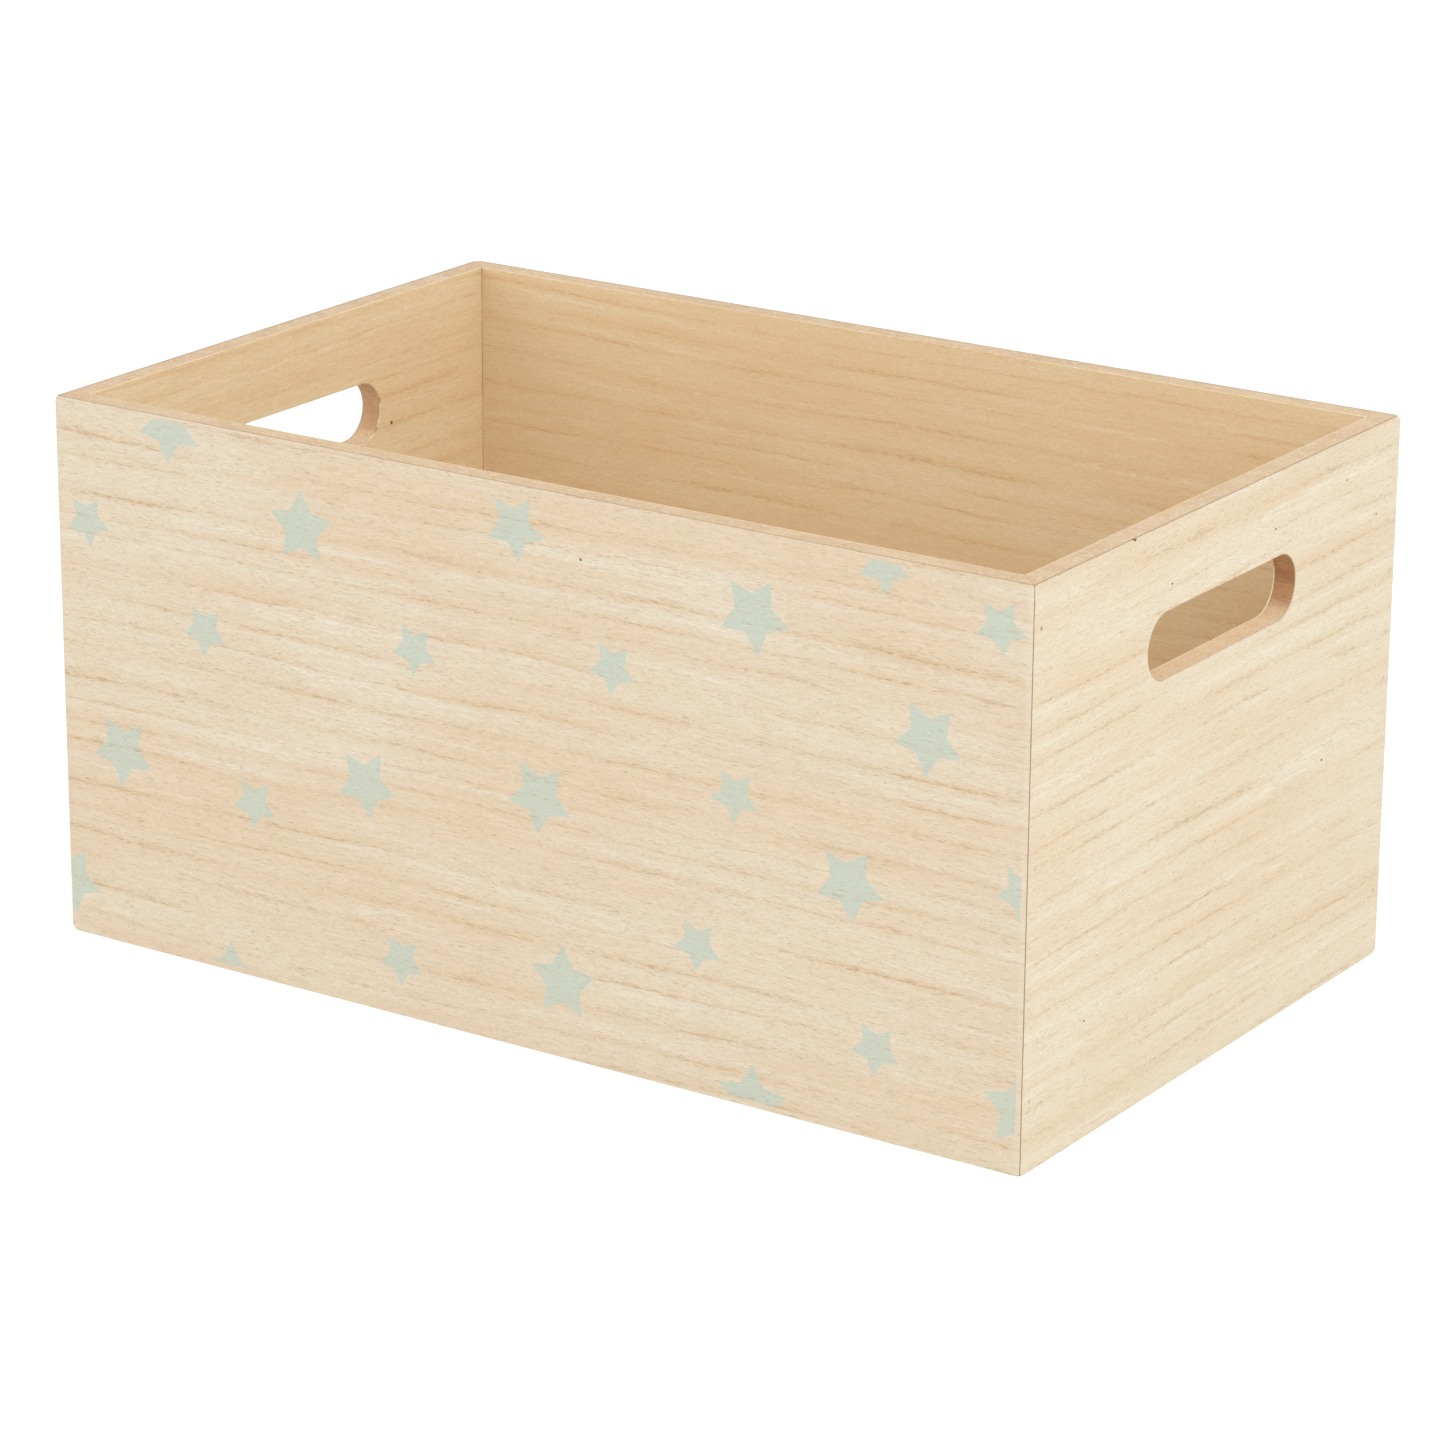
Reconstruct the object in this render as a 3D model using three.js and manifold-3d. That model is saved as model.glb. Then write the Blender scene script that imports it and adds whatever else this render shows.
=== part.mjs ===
// Open-topped wooden toy box. Four mitred walls of faced board stand round a base panel that is held
// in a groove, each end wall has a hand slot, and brads driven through the end walls pin the mitres.
// Millimetres, +Z up, origin at the middle of the underside: X along the long walls, -Y to the front.

import * as THREE from 'three';
import { mergeVertices } from 'three/addons/utils/BufferGeometryUtils.js';
import Module from 'manifold-3d';

// ---------------------------------------------------------------- driving dimensions
const LENGTH = 400; // outside, along X
const WIDTH = 250; // outside, along Y
const HEIGHT = 200;

const WALL = 9; // finished board: veneer, glue, core, glue, veneer
const VENEER = 0.6;
const GLUE_FILM = 0.1; // between a veneer and the core
const MITRE_GAP = 0.3; // between the two mitred faces of a corner
const VENEER_RISE = 0.5; // sanding the bottom arris leaves the veneers this far above the floor

const SLOT_WIDTH = 102; // hand slot, round ended
const SLOT_HEIGHT = 23.5;
const SLOT_BELOW_RIM = 30; // rim to the top of the slot

const BASE_THICKNESS = 5;
const BASE_RISE = 6; // floor to the underside of the base panel
const GROOVE_DEPTH = 4.5; // into the inner face of a wall
const GROOVE_CLEARANCE = 0.3; // above and below the base panel
const GROOVE_END_CLEARANCE = 0.5; // edge of the base panel to the bottom of the groove

const PIN_RADIUS = 0.6;
const PIN_LENGTH = 25;
const PIN_HEAD_RADIUS = 0.95;
const PIN_HEAD_THICKNESS = 0.8;
const PIN_POINT_LENGTH = 1.8;
const PIN_SINK = 0.5; // outer face of the wall to the top of the head
const PIN_CLEARANCE = 0.2; // round the pin and beyond its point
const PIN_BELOW_RIM = 15; // rim to the top pin of a corner
const PIN_ABOVE_BASE = 14; // top of the base panel to the bottom pin
const PINS_PER_CORNER = 3;

// ---------------------------------------------------------------- worked out from them
const CORE_START = VENEER + GLUE_FILM; // depths are measured inwards from a wall's outer face
const CORE_END = WALL - VENEER - GLUE_FILM;
const LINING_START = WALL - VENEER;

const GROOVE_BOTTOM = BASE_RISE - GROOVE_CLEARANCE;
const GROOVE_TOP = BASE_RISE + BASE_THICKNESS + GROOVE_CLEARANCE;
const GROOVE_START = WALL - GROOVE_DEPTH;
const BASE_ENTRY = GROOVE_DEPTH - GROOVE_END_CLEARANCE; // how far the panel reaches into a wall

const SLOT_CENTRE_Z = HEIGHT - SLOT_BELOW_RIM - SLOT_HEIGHT / 2;
const SLOT_ARC_SEGMENTS = 12; // steps in each round end
const ROUND_SEGMENTS = 12; // sides of a pin and of its hole
const CUT_MARGIN = 1; // a cutting tool runs this far past what it cuts

const PIN_LOWEST = BASE_RISE + BASE_THICKNESS + PIN_ABOVE_BASE;
const PIN_HIGHEST = HEIGHT - PIN_BELOW_RIM;
const PIN_LEVELS = ['bottom', 'middle', 'top'].map((name, i) => {
  const share = i / (PINS_PER_CORNER - 1);
  return { name, z: PIN_LOWEST + share * (PIN_HIGHEST - PIN_LOWEST) };
});

// ---------------------------------------------------------------- materials
const material = (color, roughness, metalness = 0) =>
  new THREE.MeshStandardMaterial({ color, roughness, metalness, flatShading: true });
const FACE_VENEER = material(0xe6d3b8, 0.62);
const LINING_VENEER = material(0xd9c19c, 0.66);
const CORE_BOARD = material(0xdcbf9c, 0.85);
const BASE_BOARD = material(0xd6bd98, 0.7);
const PIN_STEEL = material(0x8c8a86, 0.4, 0.9);

// ---------------------------------------------------------------- cutting and joining
const wasm = await Module();
wasm.setup();

function toSolid(geometry) {
  const shell = geometry.clone();
  shell.deleteAttribute('normal');
  shell.deleteAttribute('uv');
  const merged = mergeVertices(shell);
  return new wasm.Manifold(new wasm.Mesh({
    numProp: 3,
    vertProperties: merged.attributes.position.array,
    triVerts: new Uint32Array(merged.index.array),
  }));
}

function toGeometry(solid) {
  const { vertProperties, triVerts } = solid.getMesh();
  const geometry = new THREE.BufferGeometry();
  geometry.setAttribute('position', new THREE.BufferAttribute(vertProperties, 3));
  geometry.setIndex(new THREE.BufferAttribute(triVerts, 1));
  geometry.computeVertexNormals();
  return geometry;
}

function cut(geometry, tools) {
  let solid = toSolid(geometry);
  for (const tool of tools) {
    solid = solid.subtract(toSolid(tool));
  }
  return toGeometry(solid);
}

// ---------------------------------------------------------------- walls
// A wall is made in its own axes: X along it, Y inwards from its outer face, Z up.

// Half the length of a mitred board of the given wall, at one depth below its outer face.
function halfLengthAt(wallLength, depth) {
  return wallLength / 2 - depth - (MITRE_GAP / 2) * Math.SQRT2;
}

// A board with both ends mitred, between two depths and two heights.
function mitredBoard(wallLength, depthFrom, depthTo, zFrom, zTo) {
  const outer = halfLengthAt(wallLength, depthFrom);
  const inner = halfLengthAt(wallLength, depthTo);
  const outline = new THREE.Shape();
  outline.moveTo(-outer, depthFrom);
  outline.lineTo(outer, depthFrom);
  outline.lineTo(inner, depthTo);
  outline.lineTo(-inner, depthTo);
  outline.closePath();
  const geometry = new THREE.ExtrudeGeometry(outline, { depth: zTo - zFrom, bevelEnabled: false });
  return geometry.translate(0, 0, zFrom);
}

// The round-ended hand slot, as a bar that runs right through a wall.
function slotTool() {
  const radius = SLOT_HEIGHT / 2;
  const straight = SLOT_WIDTH / 2 - radius;
  const outline = new THREE.Shape();
  outline.absarc(straight, 0, radius, -Math.PI / 2, Math.PI / 2);
  outline.absarc(-straight, 0, radius, Math.PI / 2, (3 * Math.PI) / 2);
  outline.closePath();
  const geometry = new THREE.ExtrudeGeometry(outline, {
    depth: WALL + 2 * CUT_MARGIN,
    bevelEnabled: false,
    curveSegments: SLOT_ARC_SEGMENTS,
  });
  geometry.rotateX(Math.PI / 2);
  return geometry.translate(0, WALL + CUT_MARGIN, SLOT_CENTRE_Z);
}

// The channel for the base panel, along the whole inner face of a wall.
function grooveTool(wallLength) {
  const depth = GROOVE_DEPTH + CUT_MARGIN;
  const geometry = new THREE.BoxGeometry(wallLength, depth, GROOVE_TOP - GROOVE_BOTTOM);
  return geometry.translate(0, GROOVE_START + depth / 2, (GROOVE_BOTTOM + GROOVE_TOP) / 2);
}

// A round hole along Y, between two depths.
function holeAcross(radius, depthFrom, depthTo) {
  const geometry = new THREE.CylinderGeometry(radius, radius, depthTo - depthFrom, ROUND_SEGMENTS);
  return geometry.translate(0, (depthFrom + depthTo) / 2, 0);
}

// Holes for the pins where they pass through an end wall, head first.
function pinHolesThroughEnd(wallLength) {
  const headBottom = PIN_SINK + PIN_HEAD_THICKNESS + PIN_CLEARANCE;
  const tools = [];
  for (const side of [-1, 1]) {
    for (const { z } of PIN_LEVELS) {
      const x = side * (wallLength / 2 - WALL / 2);
      const head = holeAcross(PIN_HEAD_RADIUS + PIN_CLEARANCE, -CUT_MARGIN, headBottom);
      const shank = holeAcross(PIN_RADIUS + PIN_CLEARANCE, 0, WALL);
      tools.push(head.translate(x, 0, z), shank.translate(x, 0, z));
    }
  }
  return tools;
}

// Holes for the rest of the same pins, which run along the middle of a long wall from its mitres.
function pinHolesIntoSide(wallLength) {
  const reach = PIN_SINK + PIN_LENGTH + PIN_CLEARANCE;
  const tools = [];
  for (const side of [-1, 1]) {
    for (const { z } of PIN_LEVELS) {
      const hole = holeAcross(PIN_RADIUS + PIN_CLEARANCE, 0, reach);
      hole.rotateZ((side * Math.PI) / 2);
      tools.push(hole.translate(side * (wallLength / 2), WALL / 2, z));
    }
  }
  return tools;
}

function addMesh(group, name, geometry, meshMaterial) {
  const mesh = new THREE.Mesh(geometry, meshMaterial);
  mesh.name = name;
  group.add(mesh);
  return mesh;
}

// One wall: its core board, its face veneer, and the lining above and below the base groove.
function makeWall(name, wallLength, tools) {
  const wall = new THREE.Group();
  const layer = (from, to, low, high, cuts) => {
    return cut(mitredBoard(wallLength, from, to, low, high), cuts);
  };
  const coreTools = [grooveTool(wallLength), ...tools];
  addMesh(wall, `${name}_core`, layer(CORE_START, CORE_END, 0, HEIGHT, coreTools), CORE_BOARD);
  addMesh(wall, `${name}_face_veneer`, layer(0, VENEER, VENEER_RISE, HEIGHT, tools), FACE_VENEER);
  addMesh(wall, `${name}_lining`, layer(LINING_START, WALL, GROOVE_TOP, HEIGHT, tools), LINING_VENEER);
  const strip = layer(LINING_START, WALL, VENEER_RISE, GROOVE_BOTTOM, []);
  addMesh(wall, `${name}_lining_strip`, strip, LINING_VENEER);
  return wall;
}

// ---------------------------------------------------------------- brads
// A turned outline on the Y axis: flat head at 0, point at PIN_LENGTH.
function pinGeometry() {
  const profile = [
    [0, 0],
    [PIN_HEAD_RADIUS, 0],
    [PIN_HEAD_RADIUS, PIN_HEAD_THICKNESS],
    [PIN_RADIUS, PIN_HEAD_THICKNESS],
    [PIN_RADIUS, PIN_LENGTH - PIN_POINT_LENGTH],
    [0, PIN_LENGTH],
  ];
  const points = profile.map(([radius, along]) => new THREE.Vector2(radius, along));
  return toGeometry(toSolid(new THREE.LatheGeometry(points, ROUND_SEGMENTS)));
}

function addPins(endWall, name, wallLength, leftNeighbour, rightNeighbour) {
  const neighbours = [[-1, leftNeighbour], [1, rightNeighbour]];
  for (const [side, neighbour] of neighbours) {
    for (const { name: level, z } of PIN_LEVELS) {
      const pin = addMesh(endWall, `pin_${name}_${neighbour}_${level}`, pinGeometry(), PIN_STEEL);
      pin.position.set(side * (wallLength / 2 - WALL / 2), PIN_SINK, z);
    }
  }
}

// ---------------------------------------------------------------- assembly
const box = new THREE.Group();

const sides = [
  { name: 'front', y: -WIDTH / 2, turn: 0 },
  { name: 'back', y: WIDTH / 2, turn: Math.PI },
];
for (const { name, y, turn } of sides) {
  const wall = makeWall(name, LENGTH, pinHolesIntoSide(LENGTH));
  wall.position.set(0, y, 0);
  wall.rotation.z = turn;
  box.add(wall);
}

const ends = [
  { name: 'right', x: LENGTH / 2, turn: Math.PI / 2, neighbours: ['front', 'back'] },
  { name: 'left', x: -LENGTH / 2, turn: -Math.PI / 2, neighbours: ['back', 'front'] },
];
for (const { name, x, turn, neighbours } of ends) {
  const wall = makeWall(name, WIDTH, [slotTool(), ...pinHolesThroughEnd(WIDTH)]);
  addPins(wall, name, WIDTH, ...neighbours);
  wall.position.set(x, 0, 0);
  wall.rotation.z = turn;
  box.add(wall);
}

const baseLength = LENGTH - 2 * (WALL - BASE_ENTRY);
const baseWidth = WIDTH - 2 * (WALL - BASE_ENTRY);
const base = addMesh(
  box,
  'base_panel',
  new THREE.BoxGeometry(baseLength, baseWidth, BASE_THICKNESS),
  BASE_BOARD,
);
base.position.z = BASE_RISE + BASE_THICKNESS / 2;

export default box;
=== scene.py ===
"""Looks of the wooden toy box: mitred walls of veneered board, a grooved-in base and printed stars."""

import math

import bmesh
import bpy
from mathutils import Matrix, Vector, noise
from mathutils.geometry import delaunay_2d_cdt


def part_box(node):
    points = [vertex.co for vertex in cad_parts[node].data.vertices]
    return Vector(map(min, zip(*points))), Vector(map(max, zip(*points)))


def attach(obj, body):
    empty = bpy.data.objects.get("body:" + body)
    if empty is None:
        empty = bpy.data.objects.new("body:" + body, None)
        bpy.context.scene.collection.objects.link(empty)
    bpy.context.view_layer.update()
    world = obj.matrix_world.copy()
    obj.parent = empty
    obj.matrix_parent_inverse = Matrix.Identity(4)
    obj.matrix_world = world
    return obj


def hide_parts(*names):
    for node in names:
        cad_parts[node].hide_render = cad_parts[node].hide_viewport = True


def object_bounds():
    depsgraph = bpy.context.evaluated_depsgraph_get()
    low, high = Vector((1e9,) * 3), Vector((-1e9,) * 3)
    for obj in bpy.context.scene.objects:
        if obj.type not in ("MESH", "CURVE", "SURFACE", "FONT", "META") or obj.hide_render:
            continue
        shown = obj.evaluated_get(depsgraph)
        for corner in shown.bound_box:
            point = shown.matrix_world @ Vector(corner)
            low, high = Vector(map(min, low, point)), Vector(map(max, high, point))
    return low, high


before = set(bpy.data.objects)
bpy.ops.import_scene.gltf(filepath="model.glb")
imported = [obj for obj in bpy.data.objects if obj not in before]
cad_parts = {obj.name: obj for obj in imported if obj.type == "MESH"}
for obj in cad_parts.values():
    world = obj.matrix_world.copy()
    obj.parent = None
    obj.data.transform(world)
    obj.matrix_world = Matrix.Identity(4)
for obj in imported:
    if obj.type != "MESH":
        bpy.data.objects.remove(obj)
cad_low, cad_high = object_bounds()

# ------------------------------------------------------------------ sizes, in millimetres
# Everything is worked in millimetres and written to the meshes in metres.
MM = 0.001


def node_box(node):
    low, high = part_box(node)
    return low / MM, high / MM


LENGTH, WIDTH, HEIGHT = (cad_high - cad_low) / MM
FACE_LOW, FACE_HIGH = node_box("front_face_veneer")
CORE_LOW, CORE_HIGH = node_box("front_core")
LINING_LOW, LINING_HIGH = node_box("front_lining")
STRIP_LOW, STRIP_HIGH = node_box("front_lining_strip")
BASE_LOW, BASE_HIGH = node_box("base_panel")

VENEER = FACE_HIGH.y - FACE_LOW.y
CORE_START = CORE_LOW.y + WIDTH / 2  # depths are measured inwards from a wall's outer face
CORE_END = CORE_HIGH.y + WIDTH / 2
LINING_START = LINING_LOW.y + WIDTH / 2
WALL = LINING_HIGH.y + WIDTH / 2
MITRE_SETBACK = LENGTH / 2 - FACE_HIGH.x  # half the gap between two walls, along either of them
VENEER_RISE = FACE_LOW.z
GROOVE_LOW, GROOVE_HIGH = STRIP_HIGH.z, LINING_LOW.z
BASE_REACH = LENGTH / 2 - BASE_HIGH.x  # outer face of a wall to the edge of the base panel
GROOVE_START = BASE_REACH - 0.5

FACE_ARRIS = 0.45  # sanded edges of the outer veneer, at the rim and the slots
FOOT_ARRIS = 0.15
FACE_FOOT = 0.08  # the sanded veneer all but reaches the floor
CORNER_ARRIS = 0.4  # sanded vertical edge of the box
LINING_ARRIS = 0.16
EASE_DEPTHS = (0.0, 0.02, 0.07, 0.15, 0.26, 0.45)  # rings of an eased edge, under the exposed face
ARC_STEPS = 24  # steps round each end of a slot
SHARP_ANGLE = math.radians(28)
SLOT_SHARP_ANGLE = math.radians(12)
FLAT_NORMAL = 0.9999  # how much of a unit normal lies along one axis on a flat side of the box


def hole_box(node):
    """Lowest and highest y and z of the hole in a lining: those of its vertices away from the outline."""
    low, high = node_box(node)
    inside = [
        v.co / MM
        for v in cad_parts[node].data.vertices
        if low.z + 1 < v.co.z / MM < high.z - 1 and low.y + 1 < v.co.y / MM < high.y - 1
    ]
    ys, zs = [v.y for v in inside], [v.z for v in inside]
    return min(ys), max(ys), min(zs), max(zs)


SLOT = hole_box("right_lining")
_, SLOT_HALF_LENGTH, SLOT_LOW, SLOT_HIGH = SLOT
SLOT_RADIUS = (SLOT_HIGH - SLOT_LOW) / 2


# ------------------------------------------------------------------ walls in their own axes
class Wall:
    """A wall's own axes: u along it, depth inwards from its outer face, z up."""

    def __init__(self, name, length, turn, distance):
        self.name = name
        self.length = length
        self.matrix = Matrix.Rotation(turn, 4, "Z") @ Matrix.Translation((0, -distance, 0))

    def place(self, u, depth, z):
        return self.matrix @ Vector((u, depth, z))


FRONT = Wall("front", LENGTH, 0, WIDTH / 2)
RIGHT = Wall("right", WIDTH, math.pi / 2, LENGTH / 2)
BACK = Wall("back", LENGTH, math.pi, WIDTH / 2)
LEFT = Wall("left", WIDTH, -math.pi / 2, LENGTH / 2)
WALLS = (FRONT, RIGHT, BACK, LEFT)
ENDS = (RIGHT, LEFT)
GRAIN_AXIS = {wall: "Y" if wall in ENDS else "X" for wall in WALLS}  # the way the grain runs


def base_place(u, depth, v):
    """The base panel's own axes: u and v across it, depth down from its top face."""
    return Vector((u, v, BASE_HIGH.z - depth))


# ------------------------------------------------------------------ outlines
def rectangle(side, low, high):
    return [(-side, low), (side, low), (side, high), (-side, high)]


def stadium(u_low, u_high, z_low, z_high, grow=0.0):
    """A round-ended slot, anticlockwise, grown outwards all round."""
    radius = (z_high - z_low) / 2
    middle = (z_low + z_high) / 2
    points = []
    for centre, start in ((u_high - radius, -math.pi / 2), (u_low + radius, math.pi / 2)):
        for i in range(ARC_STEPS + 1):
            a = start + math.pi * i / ARC_STEPS
            points.append((centre + (radius + grow) * math.cos(a), middle + (radius + grow) * math.sin(a)))
    return points


def ellipse(u, z, half_u, half_z, steps=14):
    turns = [2 * math.pi * i / steps for i in range(steps)]
    return [(u + half_u * math.cos(a), z + half_z * math.sin(a)) for a in turns]


def star(u, z, radius, turn, waist=0.53):
    """A five-pointed star with one tip up when turn is 0, in degrees."""
    points = []
    for i in range(10):
        a = math.radians(turn + 90 + 36 * i)
        r = radius if i % 2 == 0 else radius * waist
        points.append((u + r * math.cos(a), z + r * math.sin(a)))
    return points


def clipped(points, left, right, bottom, top):
    """The part of an outline inside an upright rectangle."""
    for axis, limit, sign in ((0, left, 1), (0, right, -1), (1, bottom, 1), (1, top, -1)):
        kept = []
        for i, p in enumerate(points):
            before = points[i - 1]
            inside, was_inside = (p[axis] - limit) * sign >= 0, (before[axis] - limit) * sign >= 0
            if inside != was_inside:
                t = (limit - before[axis]) / (p[axis] - before[axis])
                kept.append(tuple(b + t * (q - b) for b, q in zip(before, p)))
            if inside:
                kept.append(p)
        points = kept
    return points


def eased(radius, depth):
    """How far a rounded arris stands in from its face's edge, at this depth below the face."""
    if depth >= radius:
        return 0.0
    return radius - math.sqrt(radius**2 - (radius - depth) ** 2)


# ------------------------------------------------------------------ mesh building
class Shell:
    """Collects the rings and faces of one piece, in a wall's or the base's axes, and makes its object."""

    def __init__(self, place, flip=False):
        self.place, self.flip = place, flip
        self.verts, self.faces, self.slots = [], [], []

    def point(self, u, depth, z):
        self.verts.append(self.place(u, depth, z) * MM)
        return len(self.verts) - 1

    def face(self, corners, slot=0):
        self.faces.append(corners[::-1] if self.flip else corners)
        self.slots.append(slot)

    def ring(self, outline, depth):
        return [self.point(u, depth, z) for u, z in outline]

    def bridge(self, upper, lower, slot=0):
        """Quads from one ring to the next one below it."""
        for i in range(len(upper)):
            j = (i + 1) % len(upper)
            self.face([upper[i], lower[i], lower[j], upper[j]], slot)

    def fill(self, outline, ring, depth, holes=(), prints=(), slot=0, below=False):
        """Triangles inside the outline and outside the holes, with each print's triangles in its slot."""
        flat = [Vector(p) for p in outline]
        known = list(ring)
        loops = [list(range(len(flat)))]
        for hole, hole_ring in holes:
            loops.append(list(range(len(flat), len(flat) + len(hole)))[::-1])  # anticlockwise, as the rest
            flat += [Vector(p) for p in hole]
            known += hole_ring
        for shape, _ in prints:
            loops.append(list(range(len(flat), len(flat) + len(shape))))
            flat += [Vector(p) for p in shape]
            known += [None] * len(shape)
        verts, _, faces, from_verts, _, from_faces = delaunay_2d_cdt(flat, [], loops, 1, 1e-5)
        index = []
        for co, sources in zip(verts, from_verts):
            old = [known[s] for s in sources if known[s] is not None]
            index.append(old[0] if old else self.point(co.x, depth, co.y))
        for corners, sources in zip(faces, from_faces):
            if any(1 <= s <= len(holes) for s in sources) or 0 not in sources:
                continue
            printed = [prints[s - 1 - len(holes)][1] for s in sources if s > len(holes)]
            loop = [index[c] for c in corners]
            self.face(loop[::-1] if below else loop, printed[0] if printed else slot)

    def build(self, name, materials):
        mesh = bpy.data.meshes.new(name)
        mesh.from_pydata([tuple(v) for v in self.verts], [], self.faces)
        for polygon, slot in zip(mesh.polygons, self.slots):
            polygon.material_index = slot
        for material in materials:
            mesh.materials.append(material)
        shell = bmesh.new()
        shell.from_mesh(mesh)
        bmesh.ops.remove_doubles(shell, verts=shell.verts, dist=1e-7)
        bmesh.ops.recalc_face_normals(shell, faces=shell.faces)
        shell.to_mesh(mesh)
        shell.free()
        shade(mesh)
        return link(name, mesh)


def shade(mesh, angle=SHARP_ANGLE):
    """Shades the flat sides of the box flat, and the rest smooth across edges blunter than the angle."""
    mesh.set_sharp_from_angle(angle=angle)
    for polygon in mesh.polygons:
        polygon.use_smooth = max(abs(part) for part in polygon.normal) < FLAT_NORMAL


def link(name, mesh):
    piece = bpy.data.objects.new(name, mesh)
    bpy.context.scene.collection.objects.link(piece)
    return piece


def cut(piece, tool, transfer=True):
    """Takes the tool away from the piece. The cut faces get the tool's material or the piece's own."""
    change = piece.modifiers.new("cut", "BOOLEAN")
    change.operation = "DIFFERENCE"
    change.solver = "EXACT"
    change.material_mode = "TRANSFER" if transfer else "INDEX"
    change.object = tool
    evaluated = piece.evaluated_get(bpy.context.evaluated_depsgraph_get())
    mesh = bpy.data.meshes.new_from_object(evaluated)
    piece.modifiers.clear()
    shade(mesh)
    old, name = piece.data, piece.data.name
    piece.data = mesh
    bpy.data.meshes.remove(old)
    mesh.name = name


def discard(tool):
    mesh = tool.data
    bpy.data.objects.remove(tool)
    bpy.data.meshes.remove(mesh)


# ------------------------------------------------------------------ materials
LIGHT_GAIN = 1.29  # how much brighter than its own colour a surface facing the lights is seen


def seen(red, green, blue):
    """The base colour of a surface that is seen as this 0 to 255 colour in the light of this scene."""
    linear = []
    for value in (red, green, blue):
        v = value / 255
        linear.append((v / 12.92 if v <= 0.04045 else ((v + 0.055) / 1.055) ** 2.4) / LIGHT_GAIN)
    return (*linear, 1.0)


class Surface:
    """One procedural material. Its nodes are fed by plain values or by other nodes' outputs."""

    def __init__(self, name, roughness=0.6, specular=0.3, metallic=0.0):
        self.material = bpy.data.materials.new(name)
        self.material.use_nodes = True
        self.tree = self.material.node_tree
        self.shader = next(n for n in self.tree.nodes if n.type == "BSDF_PRINCIPLED")
        self.shader.inputs["Roughness"].default_value = roughness
        self.shader.inputs["Specular IOR Level"].default_value = specular
        self.shader.inputs["Metallic"].default_value = metallic

    def feed(self, socket, value):
        if isinstance(value, bpy.types.NodeSocket):
            self.tree.links.new(value, socket)
        else:
            socket.default_value = value

    def node(self, kind, **inputs):
        made = self.tree.nodes.new(kind)
        for key, value in inputs.items():
            self.feed(made.inputs[key.replace("_", " ")], value)
        return made

    def math(self, operation, *values):
        made = self.tree.nodes.new("ShaderNodeMath")
        made.operation = operation
        for socket, value in zip(made.inputs, values):
            self.feed(socket, value)
        return made.outputs[0]

    def remap(self, value, low, high, to_low=0.0, to_high=1.0):
        """A smooth step from one level to another as the value goes from low to high."""
        made = self.node("ShaderNodeMapRange", Value=value)
        made.interpolation_type = "SMOOTHSTEP"
        for key, number in zip(("From Min", "From Max", "To Min", "To Max"), (low, high, to_low, to_high)):
            made.inputs[key].default_value = number
        return made.outputs[0]

    def mix(self, share, first, second):
        made = self.tree.nodes.new("ShaderNodeMix")
        made.data_type = "RGBA"
        self.feed(made.inputs["Factor"], share)
        first_colour, second_colour = [socket for socket in made.inputs if socket.type == "RGBA"]
        self.feed(first_colour, first)
        self.feed(second_colour, second)
        return next(socket for socket in made.outputs if socket.type == "RGBA")

    def position(self):
        """The place on the object, in millimetres along X, Y and Z."""
        place = self.node("ShaderNodeTexCoord").outputs["Object"]
        axes = self.node("ShaderNodeSeparateXYZ", Vector=place).outputs
        return [self.math("MULTIPLY", axis, 1 / MM) for axis in axes]

    def noise(self, place, sizes, detail=2.0, roughness=0.5, distortion=0.0):
        """Noise whose features are about as long as these sizes, in millimetres."""
        scaled = [self.math("DIVIDE", p, s) for p, s in zip(place, sizes)]
        vector = self.node("ShaderNodeCombineXYZ", X=scaled[0], Y=scaled[1], Z=scaled[2])
        made = self.node("ShaderNodeTexNoise", Vector=vector.outputs[0], Detail=detail)
        made.inputs["Scale"].default_value = 1.0
        made.inputs["Roughness"].default_value = roughness
        made.inputs["Distortion"].default_value = distortion
        return made.outputs["Fac"]

    def depths(self):
        """Depths under the nearest end face and the nearest of the two long faces, in millimetres."""
        x, y, _ = self.position()
        pairs = ((LENGTH, x), (WIDTH, y))
        return [self.math("SUBTRACT", size / 2, self.math("ABSOLUTE", place)) for size, place in pairs]

    def finish(self, colour, height, bump, roughness=None, relief=0.06):
        """Joins colour, bump and roughness to the shader. relief is the bump's depth in millimetres."""
        self.feed(self.shader.inputs["Base Color"], colour)
        if roughness is not None:
            self.feed(self.shader.inputs["Roughness"], roughness)
        raised = self.node("ShaderNodeBump", Height=height)
        raised.inputs["Strength"].default_value = bump
        raised.inputs["Distance"].default_value = relief * MM
        self.feed(self.shader.inputs["Normal"], raised.outputs[0])
        return self.material


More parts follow.
